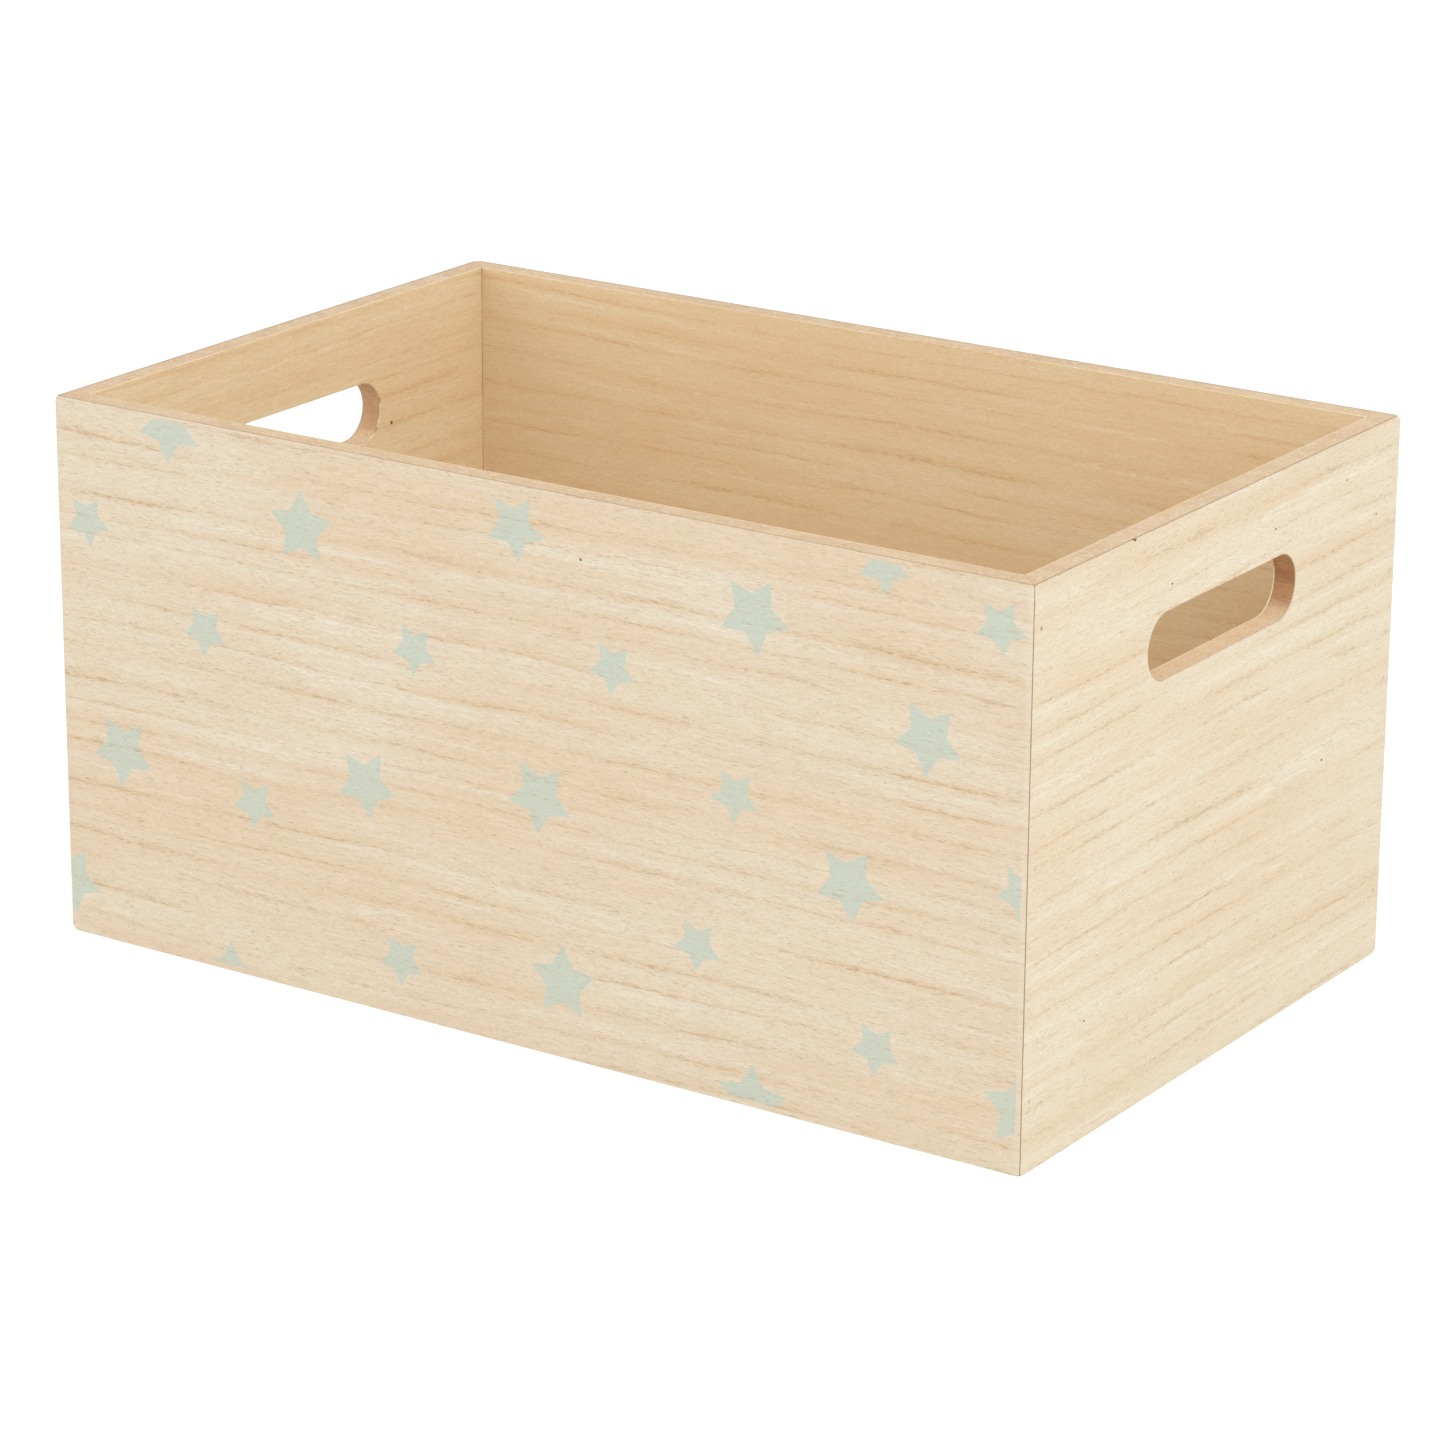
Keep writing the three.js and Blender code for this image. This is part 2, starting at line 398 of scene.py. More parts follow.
def veneer(
    name,
    along_axis="X",
    across_axis="Z",
    shift=0.0,
    figure=1.0,
    porous=1.0,
    tone=(1, 1, 1),
    ink=0.0,
    pale_end=None,
):
    """Pale paulownia veneer. Thin growth lines run along the grain, with short open pores between them.

    figure is how strongly the growth lines show, porous how strongly the pores do, and tone tints every
    colour of the wood. ink is how much of the mint print covers the wood, which still shows through. Beyond
    pale_end, in millimetres along the grain, the wood is paler.
    """
    s = Surface(name, roughness=0.6, specular=0.28)

    def wood(red, green, blue):
        return seen(red * tone[0], green * tone[1], blue * tone[2])

    axes = dict(zip("XYZ", s.position()))
    through_axis = ({"X", "Y", "Z"} - {along_axis, across_axis}).pop()
    along = s.math("ADD", axes[along_axis], shift)
    across = s.math("ADD", axes[across_axis], shift)
    place = (along, across, axes[through_axis])

    # growth rings, cut nearly along the grain: bent is the height across them, with their waves taken out
    slow = s.noise(place, (230, 60, 400))
    quick = s.noise(place, (26, 7, 60), detail=3)
    jitter = s.noise(place, (2.6, 0.9, 20), detail=3, roughness=0.7)
    bent = s.math("MULTIPLY_ADD", slow, 14, across)
    bent = s.math("MULTIPLY_ADD", quick, 2.2, bent)
    bent = s.math("MULTIPLY_ADD", jitter, 2.2, bent)
    uneven = s.noise((0.0, bent, 0.0), (1, 24, 1))
    ring = s.math("DIVIDE", s.math("MULTIPLY_ADD", uneven, 19, bent), 10)
    phase = s.math("FRACT", ring)
    rest = s.math("SUBTRACT", 1.0, phase)
    number = s.math("FLOOR", s.math("ADD", ring, 0.5))
    fade = s.noise((along, s.math("MULTIPLY", number, 37), 0.0), (85, 1, 1))
    strength = s.remap(fade, 0.36, 0.68, 0.1, 1.0)
    line = s.math("MAXIMUM", s.math("POWER", rest, 13.0), s.math("POWER", phase, 22.0))
    line = s.math("MULTIPLY", line, strength)
    late_wood = s.math("MAXIMUM", s.math("POWER", rest, 3.4), s.math("POWER", phase, 12.0))
    late_wood = s.math("MULTIPLY", late_wood, strength)

    # open pores: short dashes, thickest along the growth lines, and fine fibres everywhere
    dashes = s.noise(place, (3.4, 0.34, 3), detail=2, roughness=0.6)
    pores = s.remap(s.math("MULTIPLY_ADD", line, 0.15, dashes), 0.615, 0.7)
    broken = s.remap(s.noise(place, (3.2, 0.7, 9), detail=3, roughness=0.7), 0.4, 0.62, 0.1, 1.0)
    streaks = s.noise(place, (16, 1.1, 9), detail=3, roughness=0.65)
    fibre = s.noise(place, (4.5, 0.45, 2), detail=3, roughness=0.75)
    speckle = s.noise(place, (1.5, 0.42, 2), detail=2, roughness=0.7)
    bands = s.noise(place, (240, 8, 300), detail=3, roughness=0.6)
    blotch = s.noise(place, (110, 34, 200))

    peach = s.remap(s.math("MULTIPLY_ADD", blotch, 0.6, s.math("MULTIPLY", bands, 0.6)), 0.48, 0.74)
    colour = s.mix(peach, wood(238, 225, 201), wood(236, 215, 187))
    pale = s.remap(s.noise((along, bent, 0.0), (150, 7, 1)), 0.5, 0.72, 0.0, 0.8)
    pale = s.math("MULTIPLY", pale, s.remap(streaks, 0.35, 0.6, 1.0, 0.35))
    colour = s.mix(pale, colour, wood(245, 238, 221))
    colour = s.mix(s.math("MULTIPLY", late_wood, 0.46 * figure), colour, wood(230, 200, 158))
    shown = s.math("MULTIPLY", s.math("MULTIPLY", line, broken), 0.85 * figure)
    colour = s.mix(shown, colour, wood(213, 173, 120))
    colour = s.mix(s.remap(streaks, 0.5, 0.72, 0.0, 0.24), colour, wood(222, 189, 152))
    colour = s.mix(s.remap(streaks, 0.5, 0.3, 0.0, 0.24), colour, wood(242, 234, 216))
    if ink:
        colour = s.mix(ink, colour, seen(198, 217, 205))
    grain = 1 - 0.2 * ink
    colour = s.mix(s.remap(fibre, 0.36, 0.66, 0.0, 0.3 * grain), colour, wood(212, 187, 152))
    colour = s.mix(s.remap(speckle, 0.42, 0.72, 0.0, 0.32 * grain), colour, wood(203, 177, 143))
    colour = s.mix(s.math("MULTIPLY", pores, 0.5 * grain * porous), colour, wood(182, 146, 106))
    if pale_end:
        beyond = s.remap(axes[along_axis], pale_end - 0.5, pale_end + 0.5, 0.0, 0.3)
        colour = s.mix(beyond, colour, seen(240, 228, 205))
    arris = s.remap(s.math("MAXIMUM", *s.depths()), 0.22, 0.42, 0.5, 0.0)
    colour = s.mix(arris, colour, seen(178, 146, 114))

    height = s.math("MULTIPLY_ADD", fibre, 0.5, s.math("MULTIPLY", pores, -1.0))
    return s.finish(colour, height, bump=0.45, roughness=s.remap(fibre, 0.3, 0.7, 0.54, 0.68))


def core_board(name, base=(233, 206, 172), dark=(213, 178, 138), pale=(242, 223, 194)):
    """Light brown fibreboard: no grain, a fine speckle of fibres, and a dark glue line under the veneer."""
    s = Surface(name, roughness=0.85, specular=0.2)
    place = s.position()
    speckle = s.noise(place, (0.7, 0.7, 0.7), detail=4, roughness=0.7)
    flecks = s.noise(place, (1.8, 1.3, 1.5), detail=3, distortion=0.8)
    mottle = s.noise(place, (16, 9, 14), detail=3)
    between = [(b + d) / 2 for b, d in zip(base, dark)]
    colour = s.mix(s.remap(mottle, 0.3, 0.7), seen(*base), seen(*between))
    colour = s.mix(s.remap(flecks, 0.5, 0.66, 0.0, 0.85), colour, seen(*pale))
    colour = s.mix(s.remap(speckle, 0.52, 0.66, 0.0, 0.75), colour, seen(*dark))
    glued = s.remap(s.math("MINIMUM", *s.depths()), CORE_START + 0.35, CORE_START + 0.75, 0.75, 0.0)
    colour = s.mix(glued, colour, seen(184, 150, 114))
    return s.finish(colour, speckle, bump=0.5, roughness=s.remap(speckle, 0.3, 0.7, 0.78, 0.92))


def slot_edge(name, end_shade):
    """Where the slot's cutter went through the core: a warmer tan than the board, partly the cut fibres and
    partly painted warm bounce light, with brown painted shade high on the round ends.
    """
    s = Surface(name, roughness=0.8, specular=0.2)
    place = s.position()
    across = s.math("ABSOLUTE", place[1])
    speckle = s.noise(place, (0.8, 0.6, 0.6), detail=4, roughness=0.7)
    scuffs = s.noise(place, (7, 0.8, 0.8), detail=3, roughness=0.6)
    patches = s.noise(place, (9, 6, 5), detail=2)
    uneven = s.math("MULTIPLY_ADD", patches, 5, across)
    # Painted shade on the slot's round ends, weaker near the bottom of the slot; each end wall has its own
    # strength of it.
    ends = s.remap(uneven, SLOT_HALF_LENGTH - SLOT_RADIUS, SLOT_HALF_LENGTH - 1, 0.0, end_shade)
    high = s.remap(place[2], SLOT_LOW + 0.1 * SLOT_RADIUS, SLOT_LOW + 0.5 * SLOT_RADIUS, 0.3, 1.0)
    ends = s.math("MULTIPLY", ends, high)
    # The warm tan is partly the cut board and partly painted warm bounce light.
    plain = s.mix(s.remap(patches, 0.35, 0.65), seen(242, 209, 168), seen(246, 218, 182))
    shaded_end = s.mix(s.remap(patches, 0.35, 0.65), seen(176, 128, 90), seen(196, 150, 108))
    colour = s.mix(ends, plain, shaded_end)
    colour = s.mix(s.remap(scuffs, 0.5, 0.7, 0.0, 0.4), colour, seen(224, 182, 140))
    colour = s.mix(s.remap(speckle, 0.5, 0.68, 0.0, 0.6), colour, seen(178, 126, 86))
    return s.finish(colour, speckle, bump=0.5, roughness=s.remap(speckle, 0.3, 0.7, 0.74, 0.88))


def mitre_glue(name):
    """Glue with wood dust in it: brown at a corner's outer edge, and at its inner one a light tan that is
    painted light against the shade of the narrow gap between the linings.
    """
    s = Surface(name, roughness=0.7, specular=0.3)
    place = s.position()
    dust = s.noise(place, (0.8, 0.8, 2.5), detail=3)
    patches = s.noise(place, (3, 3, 14), detail=2)
    depth = s.math("MINIMUM", *s.depths())
    brown = s.mix(patches, seen(158, 124, 92), seen(186, 152, 118))
    # Painted light: the inner edge's tan is kept light so that the shaded gap there looks lit.
    tan = s.mix(s.remap(patches, 0.35, 0.65), seen(214, 176, 134), seen(240, 208, 168))
    dusty = s.mix(dust, seen(212, 184, 150), seen(230, 206, 176))
    colour = s.mix(s.remap(depth, 0.9, 1.6, 1.0, 0.0), dusty, brown)
    colour = s.mix(s.remap(depth, WALL - 0.6, WALL - 0.3), colour, tan)
    return s.finish(colour, dust, bump=0.4)


def worn_wood(name):
    """Bare brown wood where a corner has been sanded or knocked through the veneer."""
    s = Surface(name, roughness=0.8, specular=0.2)
    place = s.position()
    fibre = s.noise(place, (5, 0.5, 0.5), detail=4, roughness=0.6)
    patches = s.noise(place, (1.6, 1.6, 1.6), detail=2)
    colour = s.mix(s.remap(fibre, 0.35, 0.65), seen(222, 176, 134), seen(236, 198, 160))
    colour = s.mix(s.remap(patches, 0.5, 0.7, 0.0, 0.5), colour, seen(242, 214, 180))
    return s.finish(colour, fibre, bump=0.5, roughness=s.remap(fibre, 0.3, 0.7, 0.72, 0.88))


def dark_wood(name):
    """The torn fibres in a chip and the bottom of an open pore."""
    s = Surface(name, roughness=0.85, specular=0.15)
    torn = s.noise(s.position(), (2.2, 0.35, 0.5), detail=4)
    colour = s.mix(s.remap(torn, 0.35, 0.65), seen(132, 90, 60), seen(186, 142, 102))
    return s.finish(colour, torn, bump=0.6)


def putty(name):
    """Pale filler over the brads, a little greyer and smoother than the wood round it."""
    s = Surface(name, roughness=0.75, specular=0.25)
    place = s.position()
    grain = s.noise(place, (0.35, 0.35, 0.35), detail=3)
    smear = s.noise(place, (0.9, 1.8, 0.6), detail=2)
    colour = s.mix(s.remap(smear, 0.35, 0.65), seen(226, 204, 172), seen(212, 186, 152))
    colour = s.mix(s.remap(grain, 0.55, 0.75, 0.0, 0.4), colour, seen(192, 164, 130))
    return s.finish(colour, grain, bump=0.4, roughness=s.remap(grain, 0.3, 0.7, 0.68, 0.82))


def drawn_steel(name):
    """Bright steel wire, drawn along its length."""
    s = Surface(name, roughness=0.35, specular=0.5, metallic=1.0)
    drawn = s.noise(s.position(), (6, 0.06, 0.06), detail=3)
    colour = s.mix(drawn, seen(150, 148, 144), seen(186, 184, 180))
    return s.finish(colour, drawn, bump=0.2, roughness=s.remap(drawn, 0.3, 0.7, 0.28, 0.45))


# ------------------------------------------------------------------ pieces
PORE_DEPTH = 0.28
GLUE_DIP, GLUE_DIP_RANGE = 0.23, 0.05  # how far a mitre's glue lies under the corner, and how unevenly
GLUE_STEPS = 60  # points down its uneven edge
GLUE_CLEARANCE = 0.1  # below the glue, and between it and the base panel's groove
BRAD_MOUTH_WIDTH, BRAD_MOUTH_HEIGHT = 1.1, 1.8
PUTTY_SINK, PUTTY_SHOULDER, PUTTY_DEPTH = 0.06, 0.03, 0.44
TEAR_LEVEL, TEAR_DEPTH = 0.02, 2.0  # how seldom, and how far, the left slot's inner edge is torn back


def keep(piece, node):
    """Puts a piece on the object, in the place of a CAD node."""
    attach(piece, "root")
    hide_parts(node)
    return piece


def plate(name, place, exposed, hidden, outline, materials, holes=(), prints=(), pores=()):
    """A thin plate between two depths, with eased edges on its exposed face.

    outline(e) and each of the holes, hole(e), give an edge at a distance e under the exposed face. pores
    are small blind holes in the exposed face, lined with the last of the materials.
    """
    thickness = abs(hidden - exposed)
    inwards = 1 if hidden > exposed else -1
    unders = [e for e in EASE_DEPTHS if e < thickness - 0.01] + [thickness]
    shell = Shell(place, flip=inwards < 0)
    top_loops, bottom_loops = [], []
    for edge in (outline, *holes):
        loops = [edge(e) for e in unders]
        rings = [shell.ring(loop, exposed + inwards * e) for loop, e in zip(loops, unders)]
        for upper, lower in zip(rings, rings[1:]):
            shell.bridge(upper, lower)
        top_loops.append((loops[0], rings[0]))
        bottom_loops.append((loops[-1], rings[-1]))
    last = len(materials) - 1
    for loop in pores:
        mouth, bottom = [shell.ring(loop, exposed + inwards * e) for e in (0, PORE_DEPTH)]
        shell.bridge(mouth, bottom, last)
        shell.fill(loop[::-1], bottom[::-1], exposed + inwards * PORE_DEPTH, slot=last)
        top_loops.append((loop, mouth))
    shell.fill(*top_loops[0], exposed, holes=top_loops[1:], prints=prints)
    shell.fill(*bottom_loops[0], hidden, holes=bottom_loops[1:], below=True)
    return shell.build(name, materials)


def face_plate(wall, wood, prints=(), pores=(), brads=()):
    """The outer veneer of a wall, sanded round at the corners and eased at the rim."""

    def outline(e):
        side = wall.length / 2 - MITRE_SETBACK - max(eased(CORNER_ARRIS, e), e)
        inset = eased(FACE_ARRIS, e)
        return rectangle(side, FACE_FOOT + eased(FOOT_ARRIS, e), FACE_HIGH.z - inset)

    holes = [lambda e, mouth=brad_mouth(u, z): mouth for u, z in brads]
    if wall in ENDS:
        holes.append(lambda e: stadium(*SLOT, grow=eased(FACE_ARRIS, e))[::-1])
    node = wall.name + "_face_veneer"
    piece = plate(node + "_look", wall.place, 0, VENEER, outline, wood, holes, prints, pores)
    return keep(piece, node)


def lining_plate(wall, wood):
    """The inner veneer above the base groove, eased at the rim and the slot, where the left one is torn."""

    def outline(e):
        side = wall.length / 2 - MITRE_SETBACK - (WALL - e)
        return rectangle(side, LINING_LOW.z, LINING_HIGH.z - eased(LINING_ARRIS, e))

    def torn(e):
        points = []
        for u, z in stadium(*SLOT, grow=eased(LINING_ARRIS, e)):
            tear = max(0.0, noise.noise((u * 1.7, z * 1.7, e)) - TEAR_LEVEL) * TEAR_DEPTH
            points.append((u + math.copysign(tear, u) if wall is LEFT else u, z))
        return points[::-1]

    holes = [torn] if wall in ENDS else []
    pores = [ellipse(*LEFT_LINING_PORE)[::-1]] if wall is LEFT else []
    node = wall.name + "_lining"
    piece = plate(node + "_look", wall.place, WALL, LINING_START, outline, wood, holes, pores=pores)
    return keep(piece, node)


def strip_plate(wall, wood):
    """What is left of the inner veneer below the base groove."""

    def outline(e):
        side = wall.length / 2 - MITRE_SETBACK - (WALL - e)
        return rectangle(side, STRIP_LOW.z + eased(LINING_ARRIS, e), STRIP_HIGH.z)

    node = wall.name + "_lining_strip"
    piece = plate(node + "_look", wall.place, WALL, LINING_START, outline, wood)
    return keep(piece, node)


def base_plate(wood):
    def outline(e):
        inset = eased(FACE_ARRIS, e)
        return rectangle(BASE_HIGH.x - inset, BASE_LOW.y + inset, BASE_HIGH.y - inset)

    piece = plate("base_panel_look", base_place, 0, BASE_HIGH.z - BASE_LOW.z, outline, wood)
    return keep(piece, "base_panel")


def in_slot(polygon):
    """Whether a polygon of an end wall's core is part of the wall of its slot."""
    y, z = polygon.center.y / MM, polygon.center.z / MM
    across_the_wall = abs(polygon.normal.x) < 0.5
    return abs(y) < SLOT_HALF_LENGTH + 0.1 and SLOT_LOW - 0.1 < z < SLOT_HIGH + 0.1 and across_the_wall


def core(wall, materials):
    """A wall's core has the shape of the CAD node, which has its groove, slot and brad holes."""
    node = wall.name + "_core"
    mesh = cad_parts[node].data.copy()
    mesh.name = node + "_look"
    mesh.materials.clear()
    for material in materials:
        mesh.materials.append(material)
    for polygon in mesh.polygons:
        polygon.material_index = 1 if wall in ENDS and in_slot(polygon) else 0
    welded = bmesh.new()
    welded.from_mesh(mesh)
    bmesh.ops.remove_doubles(welded, verts=welded.verts, dist=1e-6)
    welded.to_mesh(mesh)
    welded.free()
    shade(mesh, SLOT_SHARP_ANGLE)
    return keep(link(mesh.name, mesh), node)


def brad_mouth(u, z):
    """Where a brad went in: a little taller than wide, clockwise, as a hole's edge is."""
    return ellipse(u, z, BRAD_MOUTH_WIDTH / 2, BRAD_MOUTH_HEIGHT / 2)[::-1]


def filler(wall, brads, material):
    """The putty over an end wall's brads: slightly sunk plugs, all in one piece."""
    shell = Shell(wall.place)
    for u, z in brads:
        loops = [
            ellipse(u, z, BRAD_MOUTH_WIDTH / 2 - inset, BRAD_MOUTH_HEIGHT / 2 - inset)
            for inset in (0.2, 0.02, 0.02)
        ]
        depths = (PUTTY_SINK, PUTTY_SHOULDER, PUTTY_DEPTH)
        rings = [shell.ring(loop, depth) for loop, depth in zip(loops, depths)]
        for upper, lower in zip(rings, rings[1:]):
            shell.bridge(upper, lower)
        shell.fill(loops[0], rings[0], PUTTY_SINK)
        shell.fill(loops[-1], rings[-1], PUTTY_DEPTH, below=True)
    piece = shell.build("filler_" + wall.name, [material])
    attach(piece, "root")
    return piece


def glue_strip(name, x_sign, y_sign, material):
    """The glue in one mitre. It stops short of the base panel's corner, and its outer edge is uneven."""
    half = MITRE_SETBACK / 2 - 0.005

    def place(t, offset, z):
        return Vector((x_sign * (LENGTH / 2 - t + offset), y_sign * (WIDTH / 2 - t - offset), z))

    low, top = VENEER_RISE + GLUE_CLEARANCE, HEIGHT - 0.04
    step = GROOVE_HIGH + GLUE_CLEARANCE
    short, full = GROOVE_START - GLUE_CLEARANCE, WALL - 0.03
    outer = []
    for i in range(GLUE_STEPS + 1):
        z = top + (low - top) * i / GLUE_STEPS
        uneven = noise.noise((x_sign * 3, y_sign * 7, z * 0.35))
        outer.append((GLUE_DIP + GLUE_DIP_RANGE * uneven, z))
    loop = outer + [(short, low), (short, step), (full, step), (full, top)]
    shell = Shell(place)
    rings = [shell.ring(loop, offset) for offset in (-half, half)]
    shell.bridge(*rings)
    shell.fill(loop, rings[0], -half)
    shell.fill(loop, rings[1], half, below=True)
    piece = shell.build(name, [material])
    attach(piece, "root")
    return piece


# ------------------------------------------------------------------ wear
BOTTOM_WEAR, TOP_WEAR, BACK_LEFT_TOP_WEAR = 3.4, 3.4, 5.0  # how far it runs along the edges from a corner
CHIP_START, CHIP_RISE, CHIP_SLANT = -0.5, 0.5, 0.25  # the cutter's near depth, rise over the rim and slope
CHIP_LEFT, CHIP_RIGHT = -63.1, -60.8  # along the right wall from its middle, as the edge's points are
CHIP_EDGE = [(-62.9, 0.35), (-62.4, 0.5), (-62.0, 0.9), (-61.6, 0.5), (-61.1, 0.4)]  # and down from the rim


def corner_tool(corner, radius, material):
    """What wear takes off a corner of the box: a small cube, less an uneven ball that reaches its edges."""
    inwards = Vector([-math.copysign(1, c - m) for c, m in zip(corner, (0, 0, HEIGHT / 2))])
    block, ball = bmesh.new(), bmesh.new()
    side = radius + 1
    middle = corner + inwards * (radius - 1) / 2
    bmesh.ops.create_cube(block, size=side * MM, matrix=Matrix.Translation(middle * MM))
    bmesh.ops.create_icosphere(ball, subdivisions=4, radius=1.0)
    centre = corner + inwards * radius
    for vert in ball.verts:
        uneven = 1 + 0.06 * noise.noise(vert.co * 2.2 + corner)
        vert.co = (centre + vert.co * radius * math.sqrt(2) * uneven) * MM
    tools = []
    for name, solid in (("block", block), ("ball", ball)):
        mesh = bpy.data.meshes.new(name)
        solid.to_mesh(mesh)
        solid.free()
        mesh.materials.append(material)
        tools.append(link(name, mesh))
    tools[1].data.shade_smooth()
    cut(tools[0], tools[1])
    discard(tools[1])
    return tools[0]


def chip_tool(material):
    """A splinter torn out of the right end's face veneer, at the rim."""
    top, deep = HEIGHT + CHIP_RISE, CORE_START + 0.35
    outer = [(CHIP_LEFT, top)] + [(u, HEIGHT - drop) for u, drop in CHIP_EDGE] + [(CHIP_RIGHT, top)]
    inner = [(u, z + CHIP_SLANT) for u, z in outer]
    shell = Shell(RIGHT.place)
    rings = [shell.ring(outer, CHIP_START), shell.ring(inner, deep)]
    shell.bridge(*rings)
    shell.fill(outer, rings[0], CHIP_START)
    shell.fill(inner, rings[1], deep, below=True)
    return shell.build("chip", [material])


# ------------------------------------------------------------------ prints and marks
# Places on the front are millimetres from its left edge and above the surface the box stands on.
# A star is its middle, in those millimetres, and the reach of its points.
UPRIGHT = [(109, 170, 13.7), (218.5, 27.5, 13.7), (296, 2, 14), (74, -2.5, 14), (399, 22.7, 14)]
LEANING = [(51.5, 196.5, 13.5), (362, 142.5, 13.3), (209, 92.5, 13.5), (26.5, 73.5, 14)]
LEANING += [(239, 143.5, 9.8), (157, 135, 9.8), (65.5, 125.3, 9.8), (288, 108.5, 9.8), (398, 97, 10)]
LEANING += [(86, 65.5, 9.8), (273.5, 53, 9.8), (344, 32, 9.8), (150, 20.5, 9.8)]
TURNED = [(295, 172, 14), (333, 87, 13.7), (135.5, 82.5, 13), (199.5, 185.5, 12.3), (1, 20, 13.5)]
TURNED += [(344.3, 197, 10), (388, 184.5, 9.8), (13.5, 156.5, 9.8)]
UPRIGHT_TURN, LEANING_TURN, TURNED_TURN = 0, 33, 43  # degrees
PRINT_LEFT_MARGIN, PRINT_RIGHT_MARGIN = 0.8, 2.4
PRINT_BOTTOM_MARGIN, PRINT_TOP_MARGIN = 2.2, 1.4


def printed_stars(slot):
    left, right = PRINT_LEFT_MARGIN - LENGTH / 2, LENGTH / 2 - PRINT_RIGHT_MARGIN
    area = (left, right, PRINT_BOTTOM_MARGIN, HEIGHT - PRINT_TOP_MARGIN)
    prints = []
    for stars, turn in ((UPRIGHT, UPRIGHT_TURN), (LEANING, LEANING_TURN), (TURNED, TURNED_TURN)):
        for x, z, radius in stars:
            prints.append((clipped(star(x - LENGTH / 2, z, radius, turn), *area), slot))
    return prints


# Open pores: along from the middle of the wall, up, half width and half height.
FACE_PORES = {
    FRONT: [(26.3, 178.8, 0.5, 0.45)],
    RIGHT: [
        (-36.4, 178.8, 0.5, 0.35),
        (34.4, 180.4, 0.5, 0.35),
        (75.6, 86.8, 0.6, 0.4),
        (-86.0, 41.8, 0.45, 0.35),
        (109.0, 168.0, 0.4, 0.35),
        (85.6, 185.6, 0.4, 0.3),
    ],
}
LEFT_LINING_PORE = (-57.6, 151.0, 0.8, 0.7)


# ------------------------------------------------------------------ the object
# Each veneer's shift takes its figure from another place in the same endless wood.
PRINT_SHIFT = 311
LINING_SHIFT, LINING_SHIFT_STEP = 4111, 977
INSIDE_BOUNCE_TINT = (1.095, 1.072, 1.01)  # painted warm bounce light inside the box: the lining and base are tinted warmer and brighter than the faces, though they are the same wood

print_wood = veneer("printed_veneer", shift=PRINT_SHIFT, figure=0.8, ink=0.8)
print_end = LENGTH / 2 - PRINT_RIGHT_MARGIN
face_woods = {
    FRONT: veneer("front_veneer", shift=PRINT_SHIFT, figure=0.8, pale_end=print_end),
    RIGHT: veneer("right_veneer", "Y", "Z", shift=1240, figure=0.62, tone=(1.02, 1.03, 1.03)),
    BACK: veneer("back_veneer", "X", "Z", shift=2050),
    LEFT: veneer("left_veneer", "Y", "Z", shift=3170),
}
# The lining and base wood carry the painted warm bounce light of the inside of the box.
lining_woods = {}
for i, wall in enumerate(WALLS):
    shift = LINING_SHIFT + LINING_SHIFT_STEP * i
    name = wall.name + "_lining_veneer"
    lining_woods[wall] = veneer(name, GRAIN_AXIS[wall], shift=shift, porous=0.5, tone=INSIDE_BOUNCE_TINT)
base_wood = veneer("base_veneer", "X", "Y", shift=9300, tone=INSIDE_BOUNCE_TINT)
board = core_board("core_board")
# Each end wall's slot gets its own strength of painted shade on its round ends.
slot_boards = {
    RIGHT: slot_edge("right_slot_edge", end_shade=1.0),
    LEFT: slot_edge("left_slot_edge", end_shade=0.6),
}
glue = mitre_glue("mitre_glue")
worn = worn_wood("worn_wood")
dark = dark_wood("dark_wood")
steel = drawn_steel("brad_steel")

OPEN_BRAD = "pin_right_front_top"  # the one whose hole has lost its putty


def brad_places(wall):
    """Where each of an end wall's brads goes in, along and up the wall, by the name of its node."""
    sign = 1 if wall is RIGHT else -1
    places = {}
    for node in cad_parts:
        if node.startswith("pin_" + wall.name):
            low, high = node_box(node)
            places[node] = (sign * (low.y + high.y) / 2, (low.z + high.z) / 2)
    return places


def show_brads(nodes):
    for node in nodes:
        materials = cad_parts[node].data.materials
        materials.clear()
        materials.append(steel)


def build_wall(wall, brads):
    """Makes a wall's four pieces and gives back the two that wear reaches."""
    front = wall is FRONT
    woods = [face_woods[wall]] + ([print_wood] if front else []) + [dark]
    boards = [board] + ([slot_boards[wall]] if wall in ENDS else [])
    pores = [ellipse(*pore)[::-1] for pore in FACE_PORES.get(wall, [])]
    face = face_plate(wall, woods, printed_stars(slot=1) if front else [], pores, brads)
    middle = core(wall, boards)
    lining_plate(wall, [lining_woods[wall], dark])
    strip_plate(wall, [lining_woods[wall]])
    return [face, middle]


def wear_corner(corner, radius, pieces):
    """Wears one corner of the box off every piece that reaches it."""
    tool = corner_tool(corner, radius, worn)
    for piece in pieces:
        low, high = [Vector(c) / MM for c in (piece.bound_box[0], piece.bound_box[6])]
        if all(l - 1 < c < h + 1 for l, c, h in zip(low, corner, high)):
            cut(piece, tool, transfer=corner.z == 0 and "core" in piece.name)
    discard(tool)


def tear_chip(pieces):
    """Tears the chip out of the right end's face and core."""
    chip = chip_tool(dark)
    for piece in pieces:
        if piece.name.startswith("right_"):
            cut(piece, chip)
    discard(chip)


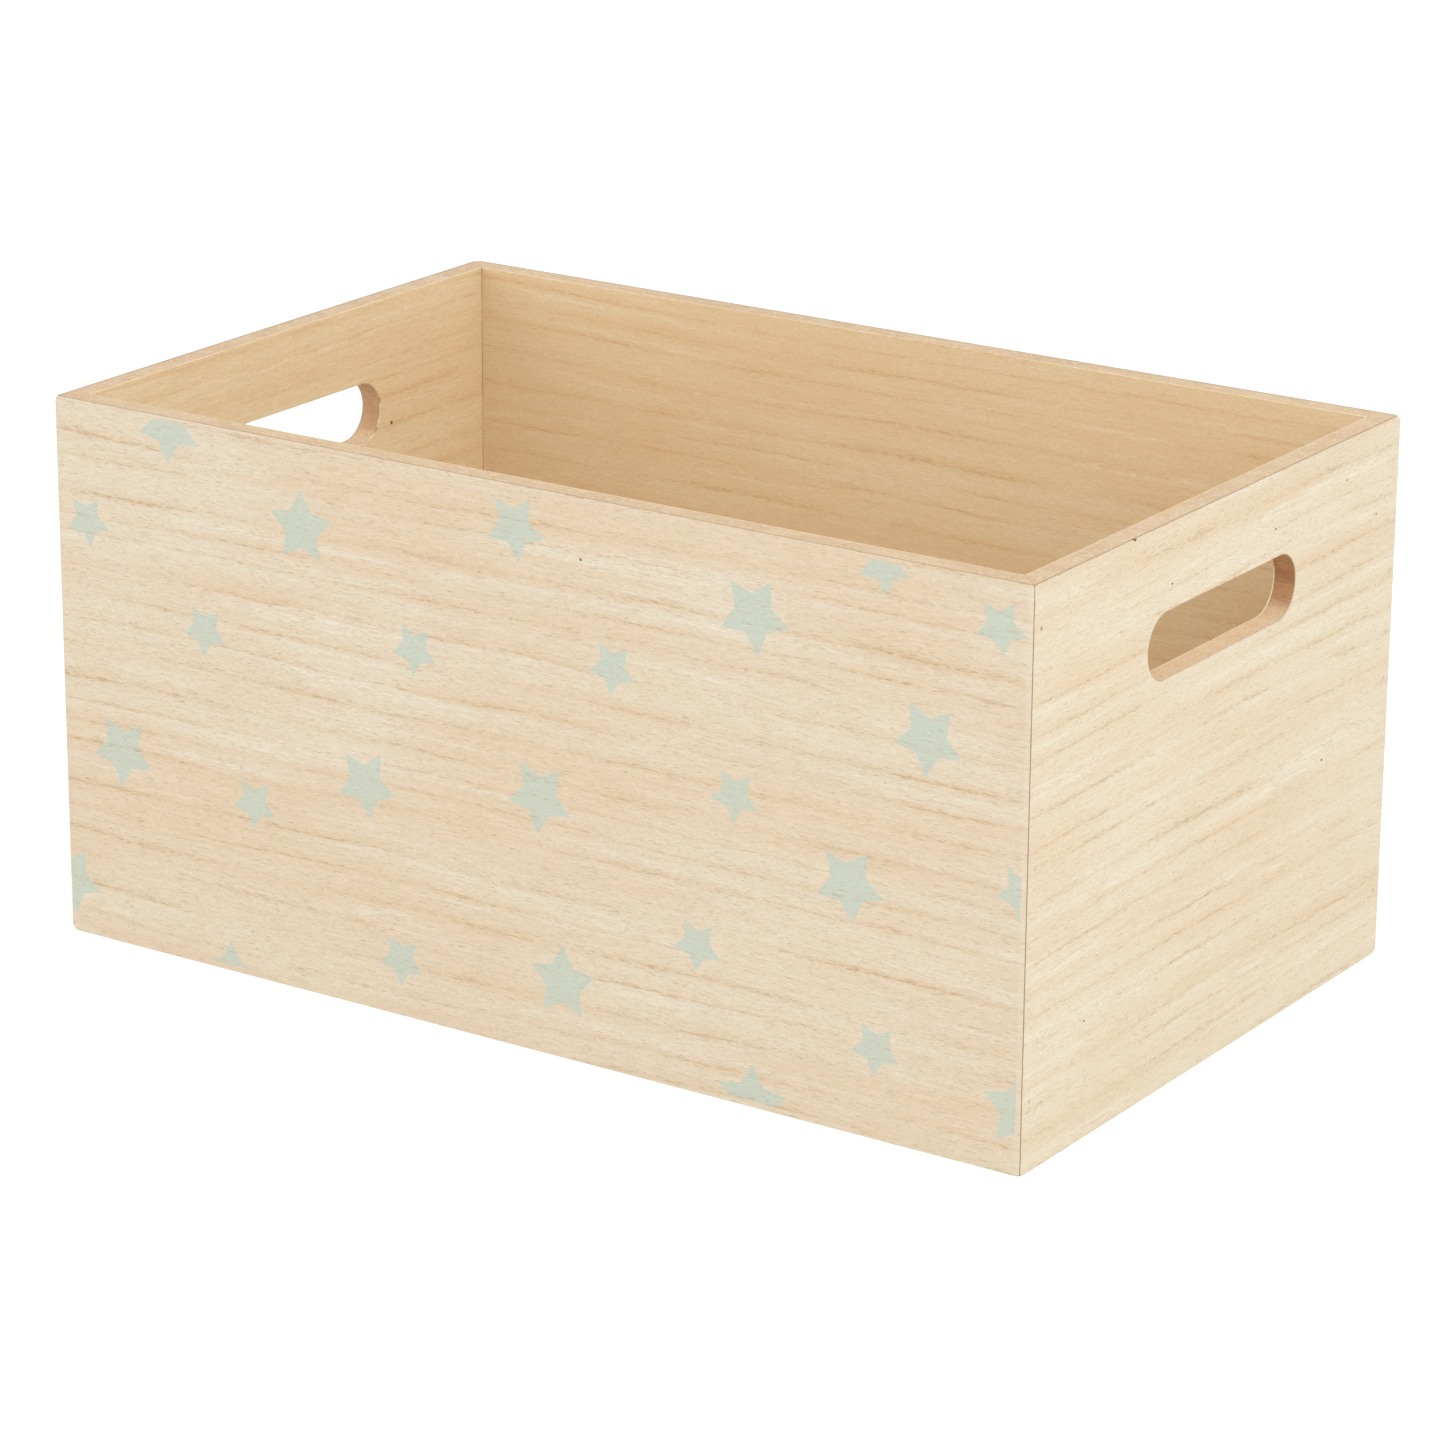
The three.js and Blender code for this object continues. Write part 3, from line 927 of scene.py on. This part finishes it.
brads = {wall: brad_places(wall) for wall in ENDS}
worn_pieces = []
for wall in WALLS:
    worn_pieces += build_wall(wall, list(brads.get(wall, {}).values()))
base_plate([base_wood])
for wall in ENDS:
    show_brads(brads[wall])
    covered = [place for node, place in brads[wall].items() if node != OPEN_BRAD]
    filler(wall, covered, putty("putty_" + wall.name))
for x_name, x_sign in (("right", 1), ("left", -1)):
    for y_name, y_sign in (("front", -1), ("back", 1)):
        worn_pieces.append(glue_strip(f"glue_{y_name}_{x_name}", x_sign, y_sign, glue))

for x_sign in (-1, 1):
    for y_sign in (-1, 1):
        top_wear = BACK_LEFT_TOP_WEAR if (x_sign, y_sign) == (-1, 1) else TOP_WEAR
        for z, radius in ((0, BOTTOM_WEAR), (HEIGHT, top_wear)):
            wear_corner(Vector((x_sign * LENGTH / 2, y_sign * WIDTH / 2, z)), radius, worn_pieces)
tear_chip(worn_pieces)


# ------------------------------------------------------------------ floor, light and camera
FLOOR_SIZE = 30  # metres
FLOOR_GLOW = 0.44


def floor():
    """White paper. It glows a little, because the photo is cut out and shows no shadow on the floor."""
    bpy.ops.mesh.primitive_plane_add(size=FLOOR_SIZE)
    plane = bpy.context.object
    plane.name = "floor"
    surface = Surface("floor_paper", roughness=0.9, specular=0.1)
    surface.shader.inputs["Base Color"].default_value = (0.62, 0.62, 0.62, 1.0)
    surface.shader.inputs["Emission Color"].default_value = (1.0, 1.0, 1.0, 1.0)
    surface.shader.inputs["Emission Strength"].default_value = FLOOR_GLOW
    plane.data.materials.append(surface.material)


def area_light(name, direction, distance, size, power, middle):
    lamp = bpy.data.lights.new(name, "AREA")
    lamp.shape = "DISK"
    lamp.size = size
    lamp.energy = power
    light = bpy.data.objects.new(name, lamp)
    light.location = middle + Vector(direction).normalized() * distance
    light.rotation_euler = (middle - light.location).to_track_quat("-Z", "Y").to_euler()
    bpy.context.scene.collection.objects.link(light)


def studio(middle):
    """Soft light from all round, a little stronger from the camera's right and from above."""
    world = bpy.data.worlds.new("white_tent")
    world.use_nodes = True
    background = next(n for n in world.node_tree.nodes if n.type == "BACKGROUND")
    background.inputs["Color"].default_value = (1.0, 1.0, 1.0, 1.0)
    background.inputs["Strength"].default_value = 1.0
    bpy.context.scene.world = world
    area_light("key", (1.0, -0.5, 0.9), 2.6, 2.2, 22, middle)
    area_light("fill", (-0.9, -1.0, 0.45), 2.8, 2.4, 12, middle)
    bpy.context.scene.view_settings.view_transform = "Standard"


AZIMUTH, PITCH, ROLL = (math.radians(a) for a in (33.72, 18.42, 0.39))
CAMERA_DISTANCE = 1.90
CAMERA_LENS = 133.0
AIM_OFFSET = Vector((0.0026, -0.0044, -0.0153))  # from the middle of the box to where the camera looks


def photo_camera(middle):
    level_forward = Vector((-math.sin(AZIMUTH), math.cos(AZIMUTH), 0))
    forward = level_forward * math.cos(PITCH) - Vector((0, 0, math.sin(PITCH)))
    level = forward.cross(Vector((0, 0, 1))).normalized()
    upright = level.cross(forward)
    right = level * math.cos(ROLL) + upright * math.sin(ROLL)
    up = right.cross(forward)
    data = bpy.data.cameras.new("camera")
    data.lens = CAMERA_LENS
    camera = bpy.data.objects.new("camera", data)
    turn = Matrix((right, up, -forward)).transposed().to_4x4()
    camera.matrix_world = Matrix.Translation(middle + AIM_OFFSET - forward * CAMERA_DISTANCE) @ turn
    bpy.context.scene.collection.objects.link(camera)
    bpy.context.scene.camera = camera


box_middle = (cad_low + cad_high) / 2
floor()
studio(box_middle)
photo_camera(box_middle)
